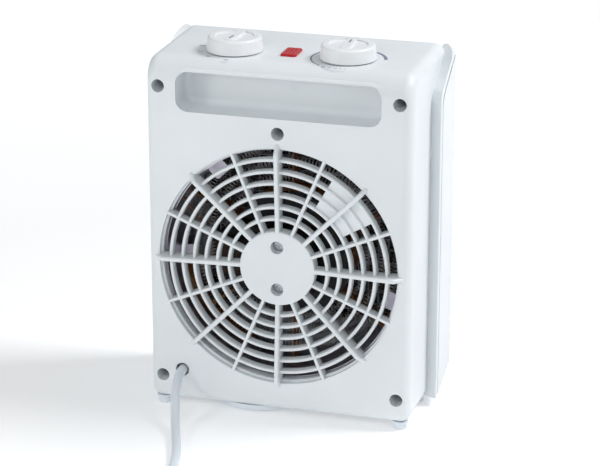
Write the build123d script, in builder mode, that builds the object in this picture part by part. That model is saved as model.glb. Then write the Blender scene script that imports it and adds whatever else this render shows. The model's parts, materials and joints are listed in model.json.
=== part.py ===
from build123d import *
from math import atan2, cos, degrees, radians, sin, tan
import os

# Compact fan convector heater.
# Origin: on the surface it stands on, under the middle of the heater. +Z is up.
# The intake grille, the carrying recess and the mains lead are on the +Y face.
# The warm air leaves through the louvred cover on the -Y face.

# Driving dimensions, in millimetres
housing_half_width = 102.0
cover_half_width = 110.0
rear_y = 48.0
front_y = -54.0
base_z = 6.5
deck_z = 277.0
wall = 2.5
roll_radius = 17.0
edge_radius = 8.0
front_edge_radius = 4.5
fan_z = 122.0
rim_radius = 93.0
hub_radius = 29.0
ring_count = 6
fin_proud = 5.67
knob_x = 43.6
knob_y = 11.0
knob_radius = 21.3
lamp_x = 0.7
lamp_y = 8.0
cord_radius = 3.5
cord_x = 76.2
cord_z = 31.6

# Rim where the housings meet, as (Y, Z) of each line's two bends and its end past the front.
# Seen from the side each line runs straight up, sweeps forward, then turns up to the deck.
lip_back_outer = ((-7.0, 249.0), (-40.0, 268.5), (-64.0, 286.0))
lip_front_outer = ((-13.0, 246.0), (-42.0, 264.0), (-64.0, 277.0))
lip_back_inner = ((-12.0, 248.0), (-42.0, 261.5), (-64.0, 286.5))
lip_front_inner = ((-15.0, 244.0), (-44.0, 257.5), (-64.0, 277.0))
seam_gap = 1.6
sweep_radii = (12.0, 10.0)

# Fasteners
well_radius = 5.0
post_radius = 4.6
screw_radius = 1.9
corner_screws = [(x, z) for x in (-92.0, 92.0) for z in (25.6, 255.8)]
centre_screw = (0.0, 226.3)
motor_bolt_offset = 16.6

# Insides
duct_radius = 90.0
duct_front_y = -24.0
duct_rear_y = 39.0
duct_wall = 0.8
shaft_radius = 2.5
blade_count = 7
fan_radius = 44.0
coil_radius = 4.6
coil_rings = (56.0, 68.0, 80.0)
coil_y = -3.0

fan_axis = Axis((0, 0, fan_z), (0, 1, 0))

os.makedirs("parts", exist_ok=True)


# Shapes used by several parts ---------------------------------------------------------------


def outline(*points, radii=0.0):
    """A closed face through the points, rounded at its corners."""
    corner_radii = [radii] * len(points) if isinstance(radii, (int, float)) else radii
    with BuildLine(Plane.XY) as line:
        FilletPolyline(*points, radius=corner_radii, close=True)
    make_face(line.edges())


def bar(radius, start, end):
    """A round bar from one point to another."""
    direction = Vector(*end) - Vector(*start)
    with BuildPart() as piece:
        with BuildSketch(Plane(origin=start, z_dir=direction)):
            Circle(radius)
        extrude(amount=direction.length)
    return piece.part


def block(low, high, corner=0.0, axis=Axis.Z):
    """A box between two corners, rounded on the edges along one axis."""
    size = [b - a for a, b in zip(low, high)]
    middle = tuple((a + b) / 2 for a, b in zip(low, high))
    with BuildPart() as piece:
        with Locations(middle):
            Box(*size)
        if corner:
            fillet(piece.edges().filter_by(axis), radius=corner)
    return piece.part


def tube_along(points, radius, radii):
    """A round tube along straight runs joined by tangent arcs."""
    with BuildPart() as piece:
        with BuildLine() as path:
            FilletPolyline(*points, radius=radii)
        with BuildSketch(Plane(origin=path.wire() @ 0, z_dir=path.wire() % 0)):
            Circle(radius)
        sweep(path=path.wire())
    return piece.part


def route_radii(points, share=0.45):
    """The largest arc that each corner of a route has room for."""
    radii = []
    for before, here, after in zip(points, points[1:], points[2:]):
        run_in = Vector(*here) - Vector(*before)
        run_out = Vector(*after) - Vector(*here)
        turn = radians(run_in.get_angle(run_out))
        radii.append(share * min(run_in.length, run_out.length) / tan(turn / 2))
    return radii


def polar(radius, angle):
    """The (X, Z) point at an angle about the fan's axis, from +X towards +Z."""
    return radius * cos(radians(angle)), fan_z + radius * sin(radians(angle))


def around(shape, angle):
    """A shape turned about the fan's axis, from +X towards +Z."""
    return shape.rotate(fan_axis, -angle)


def seam_line(line, gap=0.0):
    """One of the rim's lines in (Y, Z), moved forward and down by gap."""
    return [(line[0][0] - gap, 0), *[(y - gap, z - gap) for y, z in line]]


# Housings ---------------------------------------------------------------------------------


def housing_block(inset):
    """The rear housing's solid outer form, shrunk by inset."""
    side = housing_half_width - inset
    low, high = base_z + inset, deck_z - inset
    near, far = rear_y - inset, front_y + inset
    with BuildPart() as form:
        with BuildSketch(Plane.YZ):
            outline(
                (far, low), (near, low), (near, high), (far, high),
                radii=[0, 0, roll_radius - inset, 0],
            )
        extrude(amount=side, both=True)
        # One rounding runs up both sides, over the roll and along the deck
        rounded = [e for e in form.edges() if abs(e.center().X) > 1 and e.center().Y > far + 1]
        rounded.append(form.faces().sort_by(Axis.Y)[-1].edges().sort_by(Axis.Z)[0])
        fillet(rounded, radius=edge_radius - inset)
        fillet(form.faces().sort_by(Axis.Y)[0].edges(), radius=front_edge_radius - inset)
    return form.part


def front_region(line, half_width, gap=0.0):
    """Everything in front of and below one of the rim's lines."""
    with BuildPart() as region:
        with BuildSketch(Plane.YZ):
            outline(*seam_line(line, gap), (line[-1][0] - gap, 0), radii=[0, *sweep_radii, 0, 0])
        extrude(amount=half_width, both=True)
    return region.part


def cover_envelope(inset):
    """The full-width outline seen from the front, which bounds the lip and the cover."""
    side, low, high = cover_half_width - inset, base_z + inset, deck_z - 0.5 - inset
    with BuildPart() as envelope:
        with BuildSketch(Plane.XZ.offset(-10)):
            outline(
                (-side, low), (side, low), (side, high), (-side, high),
                radii=[0, 0, 9 - inset, 9 - inset],
            )
        extrude(amount=10 - front_y)
    return envelope.part


def flared_region(inner_line, outer_line, gap):
    """Everything in front of the rim, whose edge moves from the inner to the outer line."""
    overhang = 0.01
    with BuildPart() as region:
        add(front_region(inner_line, housing_half_width, gap))
        for plane_side in (-1, 1):
            for x, line in (
                (housing_half_width, inner_line), (cover_half_width + overhang, outer_line),
            ):
                with BuildSketch(Plane.YZ.offset(plane_side * x)):
                    front_end = (line[-1][0] - gap, 0)
                    outline(*seam_line(line, gap), front_end, radii=[0, *sweep_radii, 0, 0])
            loft(ruled=True)
    return region.part


def lip_side():
    """One side's flared lip, from the side wall out to the full width."""
    radii = [0, *sweep_radii, 0, 0, *reversed(sweep_radii), 0]
    with BuildPart() as lip:
        with BuildSketch(Plane.YZ.offset(housing_half_width - wall)):
            outline(*seam_line(lip_back_inner), *reversed(seam_line(lip_front_inner)), radii=radii)
        with BuildSketch(Plane.YZ.offset(cover_half_width)):
            outline(*seam_line(lip_back_outer), *reversed(seam_line(lip_front_outer)), radii=radii)
        loft(ruled=True)
        add(cover_envelope(-0.01), mode=Mode.INTERSECT)
    return lip.part


def spoke(half_thickness, outer_radius, proud, edge_round):
    """One radial fin of the intake grille, along +X."""
    face_y = rear_y + 0.4
    with BuildPart() as fin:
        with BuildSketch(Plane.XY.offset(fan_z)):
            outline(
                (hub_radius - 3, rear_y - 8), (outer_radius, rear_y - 8),
                (outer_radius, face_y), (rim_radius - 3, face_y + proud),
                (hub_radius - 3, rear_y + 1.6),
                radii=[0, 0, 0, 3 if proud else 0, 0],
            )
        extrude(amount=half_thickness, both=True)
        proud_edges = [e for e in fin.edges() if e.center().Y > rear_y and e.length > 20]
        fillet(proud_edges, radius=edge_round)
    return fin.part


def deck_opening(x, radius):
    """A round hole through the deck."""
    return bar(radius, (x, knob_y, deck_z - 8), (x, knob_y, deck_z + 8))


recess_low = (-78.5, rear_y - 24.5, 237.5)
recess_high = (78.5, rear_y, 267.8)
recess_corner = 9.5

with BuildPart() as rear_housing:
    add(housing_block(0))
    add(front_region(lip_front_inner, cover_half_width), mode=Mode.SUBTRACT)
    add(housing_block(wall), mode=Mode.SUBTRACT)
    right_lip = lip_side()
    add(right_lip)
    add(right_lip.mirror(Plane.YZ))
    # Intake opening with its concentric rings, spokes and hub
    with BuildSketch(Plane.XZ.offset(-rear_y - 1)):
        with Locations((0, fan_z)):
            Circle(rim_radius)
    extrude(amount=wall + 3, mode=Mode.SUBTRACT)
    with BuildSketch(Plane.XY.offset(fan_z)):
        band = (rim_radius - hub_radius) / (ring_count + 1)
        for i in range(1, ring_count + 1):
            with Locations((hub_radius + band * i, rear_y - 3.6)):
                RectangleRounded(2.5, 8.0, 1.2)
        with Locations((rim_radius + 1.1, rear_y - 4.5)):
            Rectangle(2.4, 7.0)
        # Collar that closes over the end of the heater duct
        with Locations((duct_radius + duct_wall + 1.6, rear_y - 8)):
            Rectangle(2.4, 8.0)
    revolve(axis=fan_axis)
    with BuildSketch(Plane.XY.offset(fan_z)):
        outline(
            (0, rear_y - 8), (hub_radius, rear_y - 8), (hub_radius, rear_y + 2), (0, rear_y + 2),
            radii=[0, 0, 1.2, 0],
        )
    revolve(axis=fan_axis)
    major_fin = spoke(1.7, rim_radius + 3.5, fin_proud, 1.3)
    minor_fin = spoke(1.2, rim_radius + 1, 0, 0.8)
    for i in range(8):
        add(major_fin.rotate(fan_axis, 45 * i))
        add(minor_fin.rotate(fan_axis, 45 * i + 22.5))
    # Blanked-off sector between the rings, centred on one fin
    blank_plane = Plane.XZ.offset(2.2 - rear_y)
    with BuildSketch(blank_plane):
        with Locations((0, fan_z)):
            Circle(hub_radius + 6 * band)
            Circle(hub_radius + 3 * band, mode=Mode.SUBTRACT)
        with BuildLine():
            Polyline((0, fan_z), polar(130, 120), polar(130, 150), (0, fan_z))
        make_face(mode=Mode.INTERSECT)
    extrude(amount=2)
    # Motor posts behind the hub
    for side in (-1, 1):
        z = fan_z + side * motor_bolt_offset
        add(bar(7.5, (0, 32, z), (0, rear_y, z)))
        add(bar(well_radius, (0, 41, z), (0, rear_y + 5, z)), mode=Mode.SUBTRACT)
        add(bar(screw_radius, (0, 30, z), (0, rear_y, z)), mode=Mode.SUBTRACT)
    # Screw wells
    for x, z in corner_screws + [centre_screw]:
        floor_y = -12 if z > 240 else 12
        add(bar(well_radius + 2, (x, floor_y, z), (x, rear_y - 1, z)))
        add(bar(well_radius, (x, floor_y + 3, z), (x, rear_y + 5, z)), mode=Mode.SUBTRACT)
        add(bar(screw_radius, (x, floor_y - 5, z), (x, floor_y + 5, z)), mode=Mode.SUBTRACT)
    # Carrying recess
    pocket_wall = 2.2
    pocket_outer = block(
        (recess_low[0] - pocket_wall, recess_low[1] - pocket_wall, recess_low[2] - pocket_wall),
        (recess_high[0] + pocket_wall, rear_y - 1.5, recess_high[2] + pocket_wall),
        recess_corner + pocket_wall, Axis.Y,
    )
    add(pocket_outer)
    with BuildPart(mode=Mode.PRIVATE) as pocket:
        add(block(recess_low, (recess_high[0], rear_y + 10, recess_high[2]), recess_corner, Axis.Y))
        fillet(pocket.faces().sort_by(Axis.Y)[0].edges(), radius=5)
    add(pocket.part, mode=Mode.SUBTRACT)
    # Small moulding mark in the back of the recess
    add(bar(2.2, (-6, recess_low[1], 256), (-6, recess_low[1] + 0.35, 256)))
    add(bar(1.6, (-6, recess_low[1], 256), (-6, recess_low[1] + 1, 256)), mode=Mode.SUBTRACT)
    # Saddle for the lead clamp, standing on the floor behind the lead hole
    saddle_top = cord_z - 0.4
    add(block((cord_x - 12, 30, base_z + 1), (cord_x + 12, 42, saddle_top)))
    add(bar(cord_radius, (cord_x, 28, cord_z), (cord_x, 44, cord_z)), mode=Mode.SUBTRACT)
    for side in (-1, 1):
        x = cord_x + side * 8.5
        add(bar(1.5, (x, 36, 18), (x, 36, saddle_top + 5)), mode=Mode.SUBTRACT)
    # Lead hole, control shafts and lamp window
    add(bar(5.3, (cord_x, rear_y - 6, cord_z), (cord_x, rear_y + 4, cord_z)), mode=Mode.SUBTRACT)
    for side in (-1, 1):
        add(deck_opening(side * knob_x, 4.7), mode=Mode.SUBTRACT)
    lens_window = block(
        (lamp_x - 5.5, lamp_y - 9, deck_z - 8), (lamp_x + 5.5, lamp_y + 9, deck_z + 5), 1.5
    )
    add(lens_window, mode=Mode.SUBTRACT)
rear_housing.part.label = "rear_housing"
export_step(rear_housing.part, "parts/rear_housing.step")

# Front cover with its louvres
wave_pitch = 11.6
wave_count = 16
wave_low_z = 33.0
valley_y = front_y + 2.0
skin_y = front_y + 3.6
slot_half = 78.0
wave_high_z = wave_low_z + wave_count * wave_pitch

with BuildPart() as front_form:
    with BuildSketch(Plane.YZ):
        with BuildLine():
            for i in range(wave_count):
                z = wave_low_z + i * wave_pitch
                ThreePointArc((valley_y, z), (front_y, z + wave_pitch / 2), (valley_y, z + wave_pitch))
            Polyline(
                (valley_y, wave_high_z), (front_y, wave_high_z + 3), (front_y, 282), (10, 282),
                (10, 0), (-12, 0), (-12, base_z), (front_y, 20), (front_y, wave_low_z - 3),
                (valley_y, wave_low_z),
            )
        make_face()
    extrude(amount=cover_half_width, both=True)

# Rim lines inside the cover, which reach back past its open rear
cavity_inner_line = ((20.0, 227.7), *lip_front_inner[1:])
cavity_outer_line = ((20.0, 225.5), *lip_front_outer[1:])

with BuildPart() as cover_cavity:
    with BuildSketch(Plane.YZ):
        outline(
            (20, base_z + wall), (-12, base_z + wall), (skin_y, 20 + wall), (skin_y, 280),
            (20, 280),
        )
    extrude(amount=cover_half_width - wall, both=True)
    # Below the rim's sweep, and open to the rear below the sweep
    add(
        flared_region(cavity_inner_line, cavity_outer_line, gap=seam_gap + wall),
        mode=Mode.INTERSECT,
    )
    add(cover_envelope(wall), mode=Mode.INTERSECT)

with BuildPart() as front_cover:
    add(front_form.part)
    add(flared_region(lip_front_inner, lip_front_outer, gap=seam_gap), mode=Mode.INTERSECT)
    add(cover_envelope(-0.005), mode=Mode.INTERSECT)
    add(cover_cavity.part, mode=Mode.SUBTRACT)
    # Air slots in the valleys between the louvres
    with BuildSketch(Plane.XZ.offset(-skin_y - 3)):
        column = (2 * slot_half - 8) / 3
        for i in range(2, wave_count - 1):
            with Locations(*[(k * (column + 4), wave_low_z + i * wave_pitch) for k in (-1, 0, 1)]):
                SlotOverall(column, 5.4)
    extrude(amount=12, mode=Mode.SUBTRACT)
    # Screw posts that reach back to the rear housing's wells
    for x, z in corner_screws + [centre_screw]:
        post_end = -12.0 if z > 240 else 12.0
        add(bar(post_radius, (x, skin_y - 0.5, z), (x, post_end, z)))
        add(bar(screw_radius, (x, post_end - 11, z), (x, post_end + 1, z)), mode=Mode.SUBTRACT)
    # Bosses that carry the heater duct
    for x in (-88, 88):
        for z in (fan_z - 60, fan_z + 60):
            add(bar(4, (x, skin_y - 0.5, z), (x, duct_front_y, z)))
            add(bar(1.4, (x, duct_front_y - 4, z), (x, duct_front_y + 1, z)), mode=Mode.SUBTRACT)
front_cover.part.label = "front_cover"
export_step(front_cover.part, "parts/front_cover.step")

# Sloping vanes behind the slots, carried by ears on the duct bosses
vane_front_y = skin_y + 0.2
vane_rear_y = -39.7

with BuildPart() as louvre_insert:
    with BuildSketch(Plane.YZ):
        for i in range(2, wave_count - 1):
            z = wave_low_z + i * wave_pitch
            with BuildLine():
                Polyline(
                    (vane_front_y, z - 4.6), (vane_front_y, z - 3.2), (vane_rear_y, z + 7.9),
                    (vane_rear_y, z + 6.5), (vane_front_y, z - 4.6),
                )
            make_face()
    extrude(amount=slot_half + 2.6, both=True)
    for x in (-slot_half - 2.7, -27, 27, slot_half + 2.7):
        add(block((x - 0.7, vane_front_y, 51.6), (x + 0.7, vane_rear_y, 203.3)))
    for x in (-88, 88):
        for z in (fan_z - 60, fan_z + 60):
            add(bar(7.5, (x, vane_front_y, z), (x, vane_front_y + 2.4, z)))
            add(bar(4.1, (x, vane_front_y - 1, z), (x, vane_front_y + 4, z)), mode=Mode.SUBTRACT)
louvre_insert.part.label = "louvre_insert"
export_step(louvre_insert.part, "parts/louvre_insert.step")

with BuildPart() as outlet_guard:
    guard_y = vane_rear_y + 1.9
    for x in [8.0 * i for i in range(-10, 11)]:
        add(bar(0.7, (x, guard_y, 44), (x, guard_y, 200)))
    for z in (62, 92, 122, 152, 182):
        add(bar(0.7, (-83.6, guard_y + 1.2, z), (83.6, guard_y + 1.2, z)))
outlet_guard.part.label = "outlet_guard"
export_step(outlet_guard.part, "parts/outlet_guard.step")


# Controls -------------------------------------------------------------------------------

bushing_radius = 4.5
control_shaft_radius = 3.0
knob_base_z = deck_z + 0.8
knob_top_z = deck_z + 11.6


def control_shaft(x, low_z):
    """A round shaft from inside a control up into its knob."""
    with BuildPart() as shaft:
        add(bar(control_shaft_radius, (x, knob_y, low_z + 4), (x, knob_y, knob_top_z - 3)))
        add(bar(5.5, (x, knob_y, low_z), (x, knob_y, low_z + 4)))
        chamfer(shaft.faces().sort_by(Axis.Z)[-1].edges(), length=0.5)
    return shaft.part


def control_body(x, half_width, low_z, high_z):
    """A control's case with its threaded bushing, bored for the shaft."""
    with BuildPart() as case:
        add(block((x - half_width, knob_y - 9.5, low_z), (x + half_width, knob_y + 9.5, high_z), 2))
        add(bar(bushing_radius, (x, knob_y, high_z - 1), (x, knob_y, deck_z + 4.2)))
        bore = control_shaft_radius + 0.05
        add(bar(bore, (x, knob_y, low_z + 9), (x, knob_y, deck_z + 6)), mode=Mode.SUBTRACT)
        add(bar(6.0, (x, knob_y, low_z + 4), (x, knob_y, low_z + 9.5)), mode=Mode.SUBTRACT)
    return case.part


def knob(x, pointer_angle):
    """A hollow round knob with a finger bar across its sunken top."""
    top_radius = knob_radius - 1.2
    with BuildPart() as cap:
        with BuildSketch(Plane.XZ):
            outline(
                (0, knob_base_z), (knob_radius, knob_base_z), (top_radius, knob_top_z),
                (0, knob_top_z), radii=[0, 0.4, 2.2, 0],
            )
        revolve(axis=Axis.Z)
        with BuildSketch(Plane.XZ):
            outline(
                (6.5, knob_base_z - 1), (knob_radius - 2, knob_base_z - 1),
                (top_radius - 2, knob_top_z - 2.4), (6.5, knob_top_z - 2.4),
                radii=[0, 0, 1.5, 0],
            )
        revolve(axis=Axis.Z, mode=Mode.SUBTRACT)
        add(bar(7, (0, 0, knob_base_z - 1), (0, 0, deck_z + 4.6)), mode=Mode.SUBTRACT)
        add(bar(control_shaft_radius, (0, 0, deck_z), (0, 0, knob_top_z - 3)), mode=Mode.SUBTRACT)
        with BuildSketch(Plane.XY.offset(knob_top_z)):
            Circle(14.8)
        extrude(amount=-1.3, mode=Mode.SUBTRACT)
        with BuildSketch(Plane.XY.offset(knob_top_z - 1.4)):
            RectangleRounded(28, 7.4, 2.5)
        extrude(amount=1.7)
        bar_top = cap.faces().sort_by(Axis.Z)[-1]
        fillet(bar_top.edges(), radius=0.8)
    turned = cap.part.rotate(Axis.Z, pointer_angle)
    return turned.move(Location((x, knob_y, 0)))


with BuildPart() as power_knob:
    add(knob(knob_x, 85))
power_knob.part.label = "power_knob"
export_step(power_knob.part, "parts/power_knob.step")

with BuildPart() as thermostat_knob:
    add(knob(-knob_x, -88))
thermostat_knob.part.label = "thermostat_knob"
export_step(thermostat_knob.part, "parts/thermostat_knob.step")

with BuildPart() as power_switch_shaft:
    add(control_shaft(knob_x, 257))
power_switch_shaft.part.label = "power_switch_shaft"
export_step(power_switch_shaft.part, "parts/power_switch_shaft.step")

with BuildPart() as thermostat_shaft:
    add(control_shaft(-knob_x, 257))
thermostat_shaft.part.label = "thermostat_shaft"
export_step(thermostat_shaft.part, "parts/thermostat_shaft.step")

with BuildPart() as power_switch_body:
    add(control_body(knob_x, 14, 252.8, 272))
    for x in (knob_x - 9, knob_x - 3, knob_x + 3, knob_x + 9):
        add(block((x - 0.4, knob_y - 7, 245), (x + 0.4, knob_y - 1, 253.5)))
power_switch_body.part.label = "power_switch_body"
export_step(power_switch_body.part, "parts/power_switch_body.step")

with BuildPart() as thermostat_body:
    add(control_body(-knob_x, 12, 252.8, 270))
thermostat_body.part.label = "thermostat_body"
export_step(thermostat_body.part, "parts/thermostat_body.step")

with BuildPart() as bimetal_strip:
    add(block((-knob_x - 11, knob_y - 4, 249.4), (-knob_x + 14, knob_y + 4, 250)))
    add(block((-knob_x - 11, knob_y - 4, 249.5), (-knob_x - 9, knob_y + 4, 252.8)))
bimetal_strip.part.label = "bimetal_strip"
export_step(bimetal_strip.part, "parts/bimetal_strip.step")

with BuildPart() as shaft_nuts:
    with BuildSketch(Plane.XY.offset(deck_z)):
        with Locations((knob_x, knob_y), (-knob_x, knob_y)):
            RegularPolygon(radius=8, side_count=6)
            Circle(bushing_radius, mode=Mode.SUBTRACT)
    extrude(amount=2.4)
shaft_nuts.part.label = "shaft_nuts"
export_step(shaft_nuts.part, "parts/shaft_nuts.step")

with BuildPart() as indicator_lens:
    lens_low = (lamp_x - 5.3, lamp_y - 8.8, deck_z - 9)
    add(block(lens_low, (lamp_x + 5.3, lamp_y + 8.8, deck_z + 0.5), 1.2))
    with BuildSketch(Plane.XY.offset(deck_z)):
        with Locations((lamp_x, lamp_y)):
            RectangleRounded(12, 20, 2)
    extrude(amount=1.9)
    fillet(indicator_lens.faces().sort_by(Axis.Z)[-1].edges(), radius=0.9)
    with Locations(*[(lamp_x + x, lamp_y, deck_z + 1.9) for x in (-2.6, 0, 2.6)]):
        Box(0.8, 14, 0.9, mode=Mode.SUBTRACT)
    add(bar(3.2, (lamp_x, lamp_y, 266), (lamp_x, lamp_y, 274)), mode=Mode.SUBTRACT)
indicator_lens.part.label = "indicator_lens"
export_step(indicator_lens.part, "parts/indicator_lens.step")

with BuildPart() as indicator_lamp:
    add(bar(3.0, (lamp_x, lamp_y, 258), (lamp_x, lamp_y, 271)))
    fillet(indicator_lamp.faces().sort_by(Axis.Z)[-1].edges(), radius=2.4)
    for side in (-1, 1):
        lead_x = lamp_x + side * 1.5
        add(bar(0.4, (lead_x, lamp_y, 250), (lead_x, lamp_y, 259)))
indicator_lamp.part.label = "indicator_lamp"
export_step(indicator_lamp.part, "parts/indicator_lamp.step")


# Heater ---------------------------------------------------------------------------------

ear_angle = degrees(atan2(60, 88))
wire_hole = bar(5, (58, -10, 68), (96, -10, 68))
motor_wire_hole = bar(3.2, (70, 25, 148), (92, 23, 178))

with BuildPart() as heater_duct:
    with BuildSketch(Plane.XZ.offset(-duct_rear_y)):
        with Locations((0, fan_z)):
            Circle(duct_radius + duct_wall)
            Circle(duct_radius, mode=Mode.SUBTRACT)
    extrude(amount=duct_rear_y - duct_front_y)
    # Front flange with four ears
    with BuildSketch(Plane.XZ.offset(-duct_front_y - duct_wall)):
        with Locations((0, fan_z)):
            Circle(duct_radius + 4)
        for angle in (ear_angle, 180 - ear_angle, 180 + ear_angle, -ear_angle):
            with Locations(polar(98, angle)):
                SlotCenterToCenter(18, 13, rotation=angle)
        with Locations((0, fan_z)):
            Circle(duct_radius, mode=Mode.SUBTRACT)
        with Locations(*[(x, z) for x in (-88, 88) for z in (fan_z - 60, fan_z + 60)]):
            Circle(1.6, mode=Mode.SUBTRACT)
    extrude(amount=duct_wall)
    # Holes for the wires
    for hole in (wire_hole, wire_hole.mirror(Plane.YZ), motor_wire_hole):
        add(hole, mode=Mode.SUBTRACT)
heater_duct.part.label = "heater_duct"
export_step(heater_duct.part, "parts/heater_duct.step")

with BuildPart() as duct_screws:
    for x in (-88, 88):
        for z in (fan_z - 60, fan_z + 60):
            head_y = duct_front_y + duct_wall
            add(bar(1.4, (x, duct_front_y - 4, z), (x, head_y + 1, z)))
            add(bar(3, (x, head_y, z), (x, head_y + 2, z)))
duct_screws.part.label = "duct_screws"
export_step(duct_screws.part, "parts/duct_screws.step")

with BuildPart() as element_brackets:
    for angle in (46, 134, 203, 353):
        foot = block((duct_radius - 1.4, -12, fan_z - 7), (duct_radius - 0.4, 8, fan_z + 7))
        add(around(foot, angle))
        flange = block((78, 7.2, fan_z - 7), (duct_radius - 0.4, 8, fan_z + 7), 2, Axis.Y)
        add(around(flange, angle))
element_brackets.part.label = "element_brackets"
export_step(element_brackets.part, "parts/element_brackets.step")

board_low_y, board_high_y = coil_y - 10, coil_y + 9
inner_ring_radius = 47.0
terminal_angles = (-38, 218)
board_angles = (26, 90, 154, 270, *terminal_angles)


def ring_band(inner_radius, outer_radius, low_y, high_y):
    """A plain hoop about the fan's axis."""
    with BuildPart() as hoop:
        with BuildSketch(Plane.XZ.offset(-high_y)):
            with Locations((0, fan_z)):
                Circle(outer_radius)
                Circle(inner_radius, mode=Mode.SUBTRACT)
        extrude(amount=high_y - low_y)
    return hoop.part


def coil_arc(ring, radius, start, span):
    """A round bar bent about the fan's axis, from start on through span degrees."""
    with BuildPart() as arc:
        with BuildSketch(Plane.XY.offset(fan_z)):
            with Locations((ring, coil_y)):
                Circle(radius)
        revolve(axis=fan_axis, revolution_arc=-span)
    return around(arc.part, start)


with BuildPart() as mica_liner:
    add(ring_band(duct_radius - 1.2, duct_radius - 0.2, coil_y - 11, coil_y + 5))
    with BuildSketch(Plane.XZ):
        with BuildLine():
            Polyline((0, fan_z), polar(130, -66), polar(150, -40), polar(130, -14), (0, fan_z))
        make_face()
    extrude(amount=60, both=True, mode=Mode.INTERSECT)
    add(wire_hole, mode=Mode.SUBTRACT)
mica_liner.part.label = "mica_liner"
export_step(mica_liner.part, "parts/mica_liner.step")

with BuildPart() as mica_boards:
    add(ring_band(inner_ring_radius, inner_ring_radius + 1.2, board_low_y, board_high_y))
    for angle in board_angles:
        board = block(
            (inner_ring_radius + 0.6, board_low_y, fan_z - 0.6),
            (duct_radius - 0.2, board_high_y, fan_z + 0.6),
        )
        add(around(board, angle))
    for ring in coil_rings:
        with BuildSketch(Plane.XY.offset(fan_z)):
            with Locations((ring, coil_y)):
                Circle(coil_radius + 0.1)
        revolve(axis=fan_axis, mode=Mode.SUBTRACT)
    add(
        ring_band(duct_radius - 1.3, duct_radius + 1, board_low_y - 2, coil_y + 5.1),
        mode=Mode.SUBTRACT,
    )
mica_boards.part.label = "mica_boards"
export_step(mica_boards.part, "parts/mica_boards.step")

with BuildPart() as heating_coils:
    for ring in coil_rings:
        clearance = degrees(1.5 / ring)
        for start, end in ((-38, 218), (218, 322)):
            span = end - start - 2 * clearance
            add(coil_arc(ring, coil_radius, start + clearance, span))
            bore = coil_arc(ring, coil_radius - 0.8, start + clearance - 0.3, span + 0.6)
            add(bore, mode=Mode.SUBTRACT)
heating_coils.part.label = "heating_coils"
export_step(heating_coils.part, "parts/heating_coils.step")

with BuildPart() as coil_terminals:
    for angle in terminal_angles:
        for ring in coil_rings:
            for z_low, z_high in ((0.6, 1.4), (-1.4, -0.6)):
                plate = block(
                    (ring - 3, coil_y - 6, fan_z + z_low), (ring + 3, coil_y + 6, fan_z + z_high)
                )
                add(around(plate, angle))
coil_terminals.part.label = "coil_terminals"
export_step(coil_terminals.part, "parts/coil_terminals.step")

cutout_angle = 58
cutout_y = -10.0


def cutout_point(radius):
    """A point on the line on which the thermal cutout stands out from the duct."""
    x, z = polar(radius, cutout_angle)
    return x, cutout_y, z


with BuildPart() as thermal_cutout:
    add(bar(7.5, cutout_point(duct_radius + duct_wall + 0.6), cutout_point(97)))
    add(bar(5.5, cutout_point(96), cutout_point(100)))
    for z_low, z_high in ((4, 11), (-11, -4)):
        tab = block((95, cutout_y - 3, fan_z + z_low), (95.8, cutout_y + 3, fan_z + z_high))
        add(around(tab, cutout_angle))
thermal_cutout.part.label = "thermal_cutout"
export_step(thermal_cutout.part, "parts/thermal_cutout.step")

with BuildPart() as thermal_fuse:
    fuse_x, fuse_y = -96.5, -17.0
    add(bar(1.8, (fuse_x, fuse_y, 128), (fuse_x, fuse_y, 142)))
    add(bar(0.5, (fuse_x, fuse_y, 118), (fuse_x, fuse_y, 152)))
thermal_fuse.part.label = "thermal_fuse"
export_step(thermal_fuse.part, "parts/thermal_fuse.step")


# Motor and fan --------------------------------------------------------------------------

core_y = (18.0, 30.0)
leg_y = (core_y[0] + core_y[1]) / 2
rotor_radius = 12.9
leg_x = (36.0, 46.0)
bolt_heights = [fan_z - motor_bolt_offset, fan_z + motor_bolt_offset]

with BuildPart() as motor_core:
    add(block((-24, core_y[0], fan_z - 25), (leg_x[1], core_y[1], fan_z + 25), 3, Axis.Y))
    cuts = [
        bar(rotor_radius + 0.5, (0, 0, fan_z), (0, 40, fan_z)),
        block((24, 0, fan_z - 16), (leg_x[0], 40, fan_z + 16)),
    ]
    for z in bolt_heights:
        cuts.append(bar(screw_radius, (0, 0, z), (0, 40, z)))
    for cut in cuts:
        add(cut, mode=Mode.SUBTRACT)
motor_core.part.label = "motor_core"
export_step(motor_core.part, "parts/motor_core.step")

leg = block((leg_x[0], core_y[0], 80), (leg_x[1], core_y[1], 170))
sleeve_low = (leg_x[0] - 1.2, core_y[0] - 1.2, fan_z - 15)
sleeve_high = (leg_x[1] + 1.2, core_y[1] + 1.2, fan_z + 15)
sleeve = block(sleeve_low, sleeve_high)

with BuildPart() as winding_bobbin:
    add(sleeve)
    for z in (fan_z - 15, fan_z + 13):
        add(block((27, leg_y - 13, z), (54, leg_y + 13, z + 2), 3))
    add(leg, mode=Mode.SUBTRACT)
winding_bobbin.part.label = "winding_bobbin"
export_step(winding_bobbin.part, "parts/winding_bobbin.step")

with BuildPart() as motor_winding:
    add(block((28.5, leg_y - 12, fan_z - 13), (53.5, leg_y + 12, fan_z + 13), 4))
    add(sleeve, mode=Mode.SUBTRACT)
motor_winding.part.label = "motor_winding"
export_step(motor_winding.part, "parts/motor_winding.step")


def motor_bracket(plate_y, dome_end_y):
    """A strap across the core with a domed seat for a bush."""
    low, high = sorted(plate_y)
    with BuildPart() as strap:
        add(block((-9, low, fan_z - 25), (9, high, fan_z + 25), 4, Axis.Y))
        add(y_dome(8, plate_y[0], dome_end_y))
        add(bar(5, (0, -10, fan_z), (0, 50, fan_z)), mode=Mode.SUBTRACT)
        for z in bolt_heights:
            add(bar(screw_radius, (0, -10, z), (0, 50, z)), mode=Mode.SUBTRACT)
    return strap.part


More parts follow.
